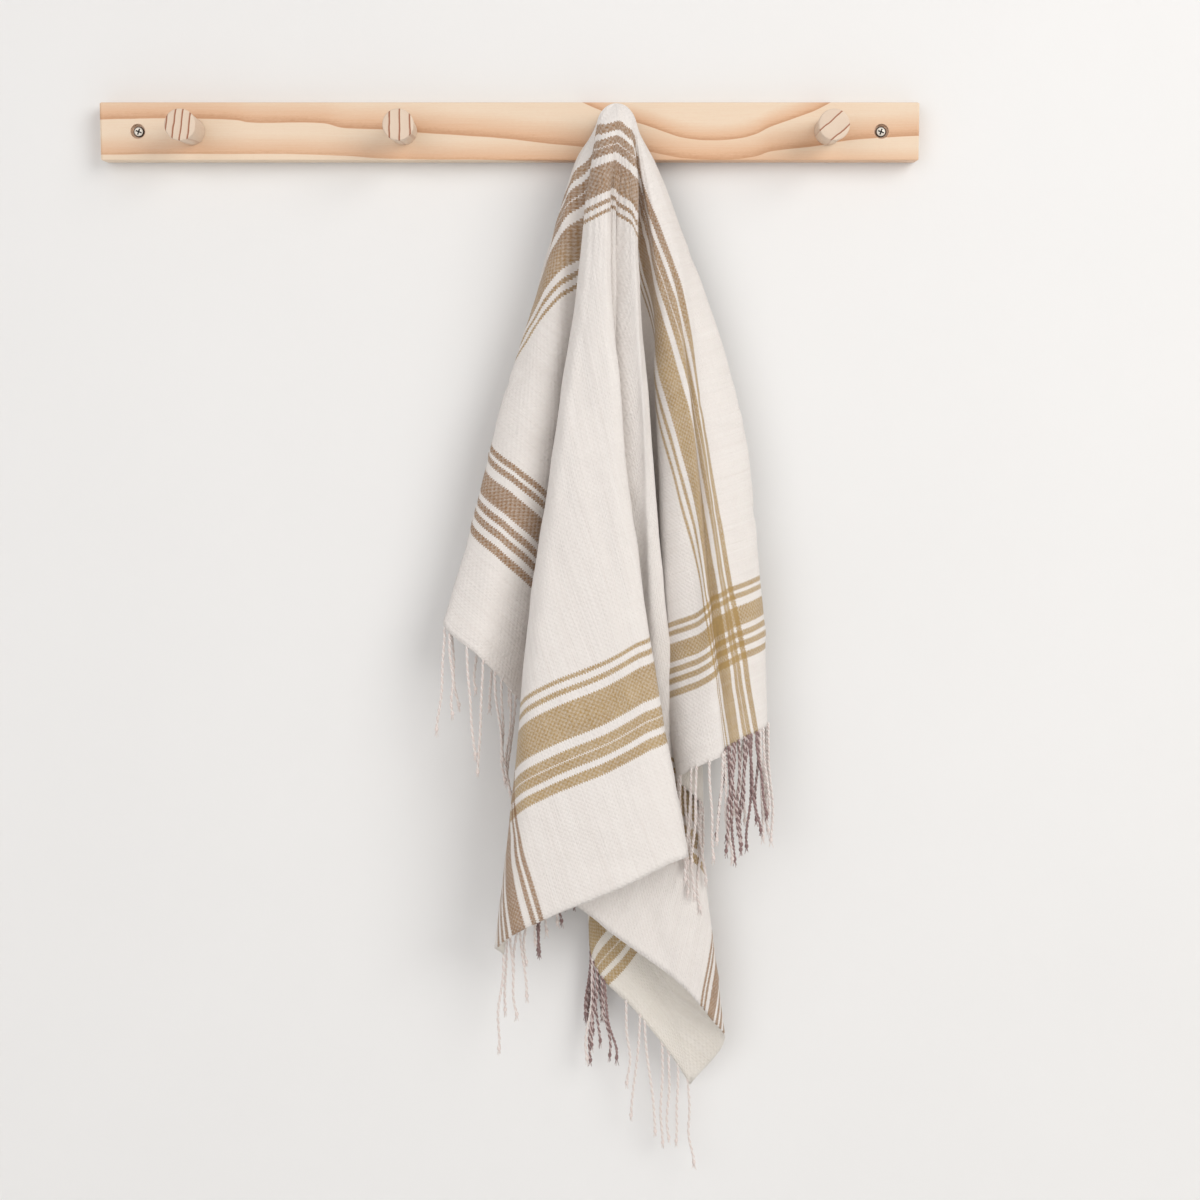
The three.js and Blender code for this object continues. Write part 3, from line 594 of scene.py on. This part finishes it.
def ruffle(hung, flat):
    """Creases and small waves that handling leaves in the cloth, and fine gathers below the peg."""
    columns, rows, _ = hung.shape
    sideways = np.gradient(hung, axis=0)
    downwards = np.gradient(hung, axis=1)
    normal = np.cross(sideways, downwards)
    normal /= np.maximum(np.linalg.norm(normal, axis=2, keepdims=True), 1e-9)
    lift = np.zeros((columns, rows))
    for j in range(columns):
        for k in range(rows):
            along, across = flat[j, k]
            swell = noise.noise((along / SWELL_BREADTH, across / SWELL_BREADTH, 3.1))
            ripple = noise.noise((along / RIPPLE_BREADTH, across / RIPPLE_BREADTH, 9.4))
            lift[j, k] = SWELL_HEIGHT * swell + RIPPLE_HEIGHT * ripple
    for along, across, heading, length, width, rise in CREASES:
        heading = math.radians(heading)
        apart = flat - (along, across)
        down = apart[..., 0] * math.cos(heading) + apart[..., 1] * math.sin(heading)
        beside = apart[..., 1] * math.cos(heading) - apart[..., 0] * math.sin(heading)
        bend = CREASE_BEND * length * (down / length) ** 2
        lift += rise * np.exp(-((beside - bend) / width) ** 2 - (2 * down / length) ** 2)
    away = np.hypot(flat[..., 0] - HUNG_ALONG, flat[..., 1] - TIP_ACROSS)
    gathers = np.sin(2 * math.pi * column_rims / GATHER_SPACING)[:, None]
    gathers = gathers * np.clip((GATHER_REACH - away) / GATHER_FADE, 0, 1)
    lift = (lift + GATHER_HEIGHT * gathers) * np.clip((away - SMOOTH_REACH) / SMOOTH_FADE, 0, 1)
    return hung + normal * lift[..., None]


hung = ruffle(hung, flat)


def sheet_mesh(name, hung, flat):
    """A mesh through the grid of points, with the flat cloth as its UV map."""
    columns, rows, _ = hung.shape
    shape = bmesh.new()
    cut = shape.loops.layers.uv.new("cut")
    corners = [[shape.verts.new(hung[j, k] / 1000) for k in range(rows)] for j in range(columns)]
    for j in range(columns - 1):
        for k in range(rows - 1):
            places = [(j, k), (j, k + 1), (j + 1, k + 1), (j + 1, k)]
            face = shape.faces.new([corners[a][b] for a, b in places])
            face.smooth = True
            for loop, (a, b) in zip(face.loops, places):
                loop[cut].uv = flat[a, b, 0] / TOWEL_LENGTH, flat[a, b, 1] / TOWEL_WIDTH
    bmesh.ops.remove_doubles(shape, verts=[corners[j][0] for j in range(columns)], dist=2e-6)
    mesh = bpy.data.meshes.new(name)
    shape.to_mesh(mesh)
    shape.free()
    made = bpy.data.objects.new(name, mesh)
    bpy.context.scene.collection.objects.link(made)
    return made


towel = sheet_mesh("handwoven_towel", hung, flat)
skin = towel.modifiers.new("thickness", "SOLIDIFY")
skin.thickness = CLOTH_THICKNESS / 1000
skin.offset = 0
# the reverse has a material of its own, a darker and more beige copy of the cloth's, which is painted
# shade
skin.material_offset = 1
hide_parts("towel")
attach(towel, "root")

# stripes as (from, to) in millimetres in from the edge: the long edges' first, then the short ones'
SIDE_STRIPES = [(88, 94.2), (97.9, 103.2), (104.1, 109.9), (115.4, 135.4), (140.2, 143.4), (147.1, 150)]
END_STRIPES = [(58, 62.7), (67.4, 71.6), (74.7, 78.9), (82.6, 96.6), (102.5, 106.1), (108.6, 112.4)]
# the lower long edge's stripes are wider at the left end: its margin and its spread there, the
# same at the right end, and where along the cloth it changes
LOWER_LEFT = (84, 1.25)
LOWER_RIGHT = (93, 1.0)
LOWER_CHANGE = (300, 550)
STRIPE_RANGE = 160
THREAD_PITCH = 1.9


def stripes(finish, distance, run, waver, bands):
    """1 on the stripes, whose edges step from thread to thread."""
    teeth = abs((run / THREAD_PITCH).fraction() - 0.5) * 2.4 - 0.6
    ragged = distance + teeth + waver
    stops = [(0, (0, 0, 0, 1))]
    for low, high in bands:
        stops += [(low / STRIPE_RANGE, (1, 1, 1, 1)), (high / STRIPE_RANGE, (0, 0, 0, 1))]
    settings = {"stops": stops, "blend": "CONSTANT"}
    return finish.node("ShaderNodeValToRGB", settings, {0: ragged / STRIPE_RANGE})


def cotton(name, undyed_low, undyed_high):
    """The cloth, woven from undyed threads and tan ones. Its two sides differ only in their white, and the
    reverse's darker beige white is painted shade.
    """
    finish = Finish(name, 0.92, Sheen_Weight=0.25, Sheen_Roughness=0.5)
    spread = finish.node("ShaderNodeUVMap", {"uv_map": "cut"})
    split = finish.node("ShaderNodeSeparateXYZ", values={0: spread}).socket.node
    along = Amount(finish, split.outputs[0]) * TOWEL_LENGTH
    across = Amount(finish, split.outputs[1]) * TOWEL_WIDTH
    cloth_point = finish.point(along, across, 0)
    thread_noise = finish.cloud(cloth_point, 0.9, 2) - 0.5
    soft_noise = finish.cloud(cloth_point, 0.05, 3) - 0.5
    slow_noise = finish.cloud(cloth_point, 0.011, 2) - 0.5

    waver = thread_noise * 0.8 + slow_noise * 3.5
    change = along.rise(*LOWER_CHANGE)
    margin, widened = [a + change * (b - a) for a, b in zip(LOWER_LEFT, LOWER_RIGHT)]
    from_side = across.least((TOWEL_WIDTH - across - margin) / widened + SIDE_STRIPES[0][0])
    from_end = along.least(TOWEL_LENGTH - along)
    warp_stripes = stripes(finish, from_side, along, waver, SIDE_STRIPES)
    weft_stripes = stripes(finish, from_end, across, waver, END_STRIPES)

    # threads: the weave itself, thick ones along and across, and single stray ones
    turn = math.pi / THREAD_PITCH
    weave = ((along + thread_noise * 0.8) * turn).sine() * ((across + thread_noise * 0.8) * turn).sine()
    warp_slub = finish.cloud(finish.point(along * 0.02, across * 0.9, 1.5), 1, 3, 0.6) - 0.5
    weft_slub = finish.cloud(finish.point(along * 0.9, across * 0.02, 7.5), 1, 3, 0.6) - 0.5
    slub = warp_slub * 0.8 + weft_slub * 1.2
    stray = finish.cloud(finish.point(along * 0.8, across * 0.022, 2.5), 1, 2).rise(0.66, 0.76)
    streak = finish.cloud(finish.point(along * 0.35, across * 0.008, 5.5), 1, 4, 0.7) - 0.5
    crumple = finish.cloud(cloth_point, 0.045, 4, 0.6) - 0.5

    on_top = (weave * 0.4 + 0.5 + thread_noise * 1.8).kept_in()
    warp_speckle = warp_stripes * (0.6 + 0.4 * on_top)
    weft_speckle = weft_stripes * (1 - 0.4 * on_top)
    dyed = (warp_speckle + weft_speckle - warp_speckle * weft_speckle * 0.8 + slub * 0.3).kept_in()
    dyed = dyed * warp_stripes.most(weft_stripes)
    undyed = finish.mix(soft_noise + 0.5, undyed_low, undyed_high)
    undyed = finish.mix((slub * 0.9 + 0.3).kept_in() * 0.6, undyed, (0.88, 0.855, 0.82))
    undyed = finish.mix((streak * 1.2 + 0.2).kept_in() * 0.5, undyed, (0.66, 0.59, 0.54))
    undyed = finish.mix(stray * 0.16, undyed, (0.60, 0.52, 0.44))

    # the tan is browner near the peg and in the short edge's stripes, more golden elsewhere
    from_peg_side = along - HUNG_ALONG
    from_peg = (from_peg_side * from_peg_side + across * across) ** 0.5
    rusty = (1 - from_peg.rise(110, 240)).most(weft_stripes * (1 - along.rise(300, 500)))
    rusty = rusty.most(weft_stripes * across.rise(300, 400)) * 0.85
    tone = (soft_noise * 2 + 0.5).kept_in()
    golden = finish.mix(tone, (0.36, 0.225, 0.075), (0.44, 0.295, 0.12))
    brown = finish.mix(tone, (0.235, 0.115, 0.048), (0.305, 0.165, 0.078))
    cloth = finish.mix(dyed, undyed, finish.mix(rusty, golden, brown))

    # a few dark specks of seed husk, which stay in hand-spun cotton
    seeds = finish.node("ShaderNodeTexVoronoi", values={"Vector": cloth_point, "Scale": 0.022})
    speck = 1 - seeds.rise(0.016, 0.030)
    cloth = finish.mix(speck * 0.7, cloth, (0.25, 0.14, 0.09))
    relief = weave * 0.35 + thread_noise * 0.5 + slub * 1.5 + streak * 1.2 + stray * 0.2 + crumple * 3.4
    return finish.wear(cloth, relief, 0.0006, 0.6)


towel.data.materials.append(cotton("handwoven_cotton", (0.77, 0.72, 0.685), (0.83, 0.785, 0.745)))
# painted shade: the reverse is given a darker, more beige white than the front
towel.data.materials.append(cotton("shaded_reverse_cotton", (0.72, 0.67, 0.59), (0.78, 0.735, 0.66)))


# The fringes: along each short edge the cloth's own threads are twisted in pairs into thin
# strands, and each ends in a small knot. Undyed threads give pale strands, and those of a
# striped part give strands of dark brown twisted with white.

PLY_RADIUS = 0.68
PLY_SPREAD = 0.62
TWIST_PITCH = 6.0
STRAND_STEP = 1.0
PLY_SIDES = 5
KNOT_RADIUS = 1.5
CUT_ENDS = 5
CUT_END_RADII = [0.34, 0.3, 0.26, 0.16]

PALE = (0.78, 0.69, 0.65, 1)
WHITE = (0.85, 0.80, 0.765, 1)
BROWN = (0.21, 0.12, 0.115, 1)
DULL = (0.36, 0.24, 0.23, 1)
MAUVE = (0.60, 0.49, 0.47, 1)


def tube(shape, colours, points, radii, sides, colour):
    """A closed tube round a row of points."""
    rings = []
    up = Vector((0.3, 1, 0.1))
    for i, point in enumerate(points):
        ahead = (points[min(i + 1, len(points) - 1)] - points[max(i - 1, 0)]).normalized()
        right = ahead.cross(up).normalized()
        front = right.cross(ahead)
        ring = []
        for s in range(sides):
            turn = 2 * math.pi * s / sides
            aside = right * math.cos(turn) + front * math.sin(turn)
            ring.append(shape.verts.new(point + aside * radii[i]))
        rings.append(ring)
    for low, high in zip(rings, rings[1:]):
        for s in range(sides):
            t = (s + 1) % sides
            shape.faces.new((low[s], low[t], high[t], high[s]))
    shape.faces.new(rings[0][::-1])
    shape.faces.new(rings[-1])
    for ring in rings:
        for vert in ring:
            vert[colours] = colour


def strand(shape, colours, path, twist, plies, chance):
    """Two plies twisted about the path, a knot near its end, and the cut threads below it."""
    places = [0.0]
    for a, b in zip(path, path[1:]):
        places.append(places[-1] + (b - a).length)
    steps = max(6, int(places[-1] / STRAND_STEP))
    runs = [places[-1] * i / steps for i in range(steps + 1)]
    line = []
    for run in runs:
        line.append(Vector([float(np.interp(run, places, [p[axis] for p in path])) for axis in range(3)]))
    for ply, colour in enumerate(plies):
        points, radii = [], []
        for run, point in zip(runs, line):
            turn = twist + math.pi * ply + 2 * math.pi * run / TWIST_PITCH
            offset = Vector((math.cos(turn), math.sin(turn), 0)) * PLY_SPREAD
            points.append(point + offset)
            radii.append(PLY_RADIUS * (0.9 + 0.2 * math.sin(run * 0.9 + ply)))
        tube(shape, colours, points, radii, PLY_SIDES, colour)
    knot = line[-1]
    ball = bmesh.ops.create_icosphere(shape, subdivisions=2, radius=KNOT_RADIUS)
    for vert in ball["verts"]:
        lump = 1 + 0.22 * noise.noise(vert.co * 1.3 + knot)
        vert.co = Vector((vert.co.x * lump, vert.co.y * lump, vert.co.z * 1.35 * lump)) + knot
        vert[colours] = plies[0]
    for i in range(CUT_ENDS):
        turn = 2 * math.pi * i / CUT_ENDS + twist
        reach = 2.5 + 3 * chance.random()
        spread = Vector((math.cos(turn), math.sin(turn), -2.2 - chance.random())).normalized()
        ends = [knot + spread * (reach * s / 3) + Vector((0, 0, -0.4 * s)) for s in range(4)]
        tube(shape, colours, ends, CUT_END_RADII, 4, plies[i % 2])


twisted = Finish("twisted_threads", 0.92, Sheen_Weight=0.2)
x, y, z = twisted.place()
fuzz = twisted.cloud(twisted.point(x, y, z * 0.4), 1.2, 3, 0.6) - 0.5
thread_colour = twisted.node("ShaderNodeAttribute", {"attribute_name": "thread"})
shade = twisted.mix((fuzz * 0.8 + 0.3).kept_in(), thread_colour, (0.60, 0.50, 0.46))
twisted.wear(twisted.mix(0.35, thread_colour, shade), fuzz, 0.0003, 0.5)

PLAIN_STEP = 14
STRIPED_STEP = 6.5
STRAND_FALL = 56
STRAND_FALL_SPREAD = 28
STRAND_SWAY = 18
STRAND_CURL = 5
STRAND_LEAN = 5
STRAND_STRETCHES = 14


def striped_at(rim, slack):
    """Whether a strand of a short edge grows from a striped part, or within the slack of one."""
    along, across = rim_point(rim)
    margin, widened = LOWER_RIGHT if along else LOWER_LEFT
    from_side = min(across, (TOWEL_WIDTH - across - margin) / widened + SIDE_STRIPES[0][0])
    return any(low - slack <= from_side <= high + slack for low, high in SIDE_STRIPES)


def fringe(name, node, first_rim, last_rim, seed):
    """The strands of one short edge. They stand closer together where the cloth is striped."""
    chance = random.Random(seed)
    rims = []
    rim = first_rim + 3
    while rim < last_rim - 2:
        rims.append(rim)
        rim += (STRIPED_STEP if striped_at(rim, 5) else PLAIN_STEP) * (0.4 + 1.2 * chance.random())
    hung_lines, _ = hang(np.array(rims), row_shares)
    shape = bmesh.new()
    colours = shape.verts.layers.float_color.new("thread")
    for i, rim in enumerate(rims):
        root = Vector(hung_lines[i, -1])
        onward = (root - Vector(hung_lines[i, -2])).normalized()
        fall = STRAND_FALL + STRAND_FALL_SPREAD * chance.random()
        sway = STRAND_SWAY * (chance.random() - 0.5)
        curl = STRAND_CURL * (chance.random() - 0.5)
        lean = STRAND_LEAN * (chance.random() - 0.5)
        path = [root - onward * 1.5, root + onward * 2.5]
        for step in range(1, STRAND_STRETCHES + 1):
            share = step / STRAND_STRETCHES
            side = sway * math.sin(2.0 * share) * share + curl * math.sin(8 * share + i) * share
            drop = Vector((side, lean * share, -fall * share))
            path.append(root + onward * 5 * (1 - (1 - share) ** 3) + drop)
        if striped_at(rim, 1):
            plies = (BROWN, chance.choice((MAUVE, MAUVE, DULL)))
        else:
            plies = (PALE, WHITE)
        strand(shape, colours, path, chance.random() * 6, plies, chance)
    for face in shape.faces:
        face.smooth = True
    mesh = bpy.data.meshes.new(name)
    shape.to_mesh(mesh)
    shape.free()
    mesh.transform(Matrix.Scale(0.001, 4))
    made = bpy.data.objects.new(name, mesh)
    bpy.context.scene.collection.objects.link(made)
    made.data.materials.append(twisted.material)
    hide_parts(node)
    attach(made, "root")
    return made


fringes = [
    fringe("knotted_fringe_left", "fringe_left_end", 0, TOWEL_WIDTH, 4),
    fringe("knotted_fringe_right", "fringe_right_end", TOWEL_WIDTH + TOWEL_LENGTH,
           2 * TOWEL_WIDTH + TOWEL_LENGTH, 9),
]


# The room: soft daylight from the front and a little from the right, and the camera, which
# stands in front of the towel, level with its upper part, and looks slightly down.

LIGHTS_AIM = (0.1, 0, -0.3)


def soft_light(name, place, size, power, colour):
    light = bpy.data.lights.new(name, "AREA")
    light.shape = "DISK"
    light.size = size
    light.energy = power
    light.color = colour
    made = bpy.data.objects.new(name, light)
    made.location = place
    made.rotation_euler = (Vector(LIGHTS_AIM) - Vector(place)).to_track_quat("-Z", "Y").to_euler()
    bpy.context.scene.collection.objects.link(made)


soft_light("window", (1.8, -2.2, 0.9), 2.0, 43, (1.0, 0.985, 0.965))
soft_light("room", (-1.2, -2.8, 0.3), 2.4, 24, (0.99, 0.985, 1.0))

sky = bpy.data.worlds.new("daylight")
sky.use_nodes = True
daylight = sky.node_tree.nodes["Background"].inputs
daylight["Color"].default_value = (1.0, 0.98, 0.97, 1)
daylight["Strength"].default_value = 0.49
bpy.context.scene.world = sky
bpy.context.scene.view_settings.view_transform = "Standard"

SENSOR_WIDTH = 36
FOCAL_LENGTH = 60.9
CAMERA_PLACE = (0.0673, -1.56, -0.176)
CAMERA_LOOKS_DOWN = 6.49

lens = bpy.data.cameras.new("camera")
lens.sensor_width = SENSOR_WIDTH
lens.lens = FOCAL_LENGTH
camera = bpy.data.objects.new("camera", lens)
camera.location = CAMERA_PLACE
camera.rotation_euler = (math.radians(90 - CAMERA_LOOKS_DOWN), 0, 0)
bpy.context.scene.collection.objects.link(camera)
bpy.context.scene.camera = camera
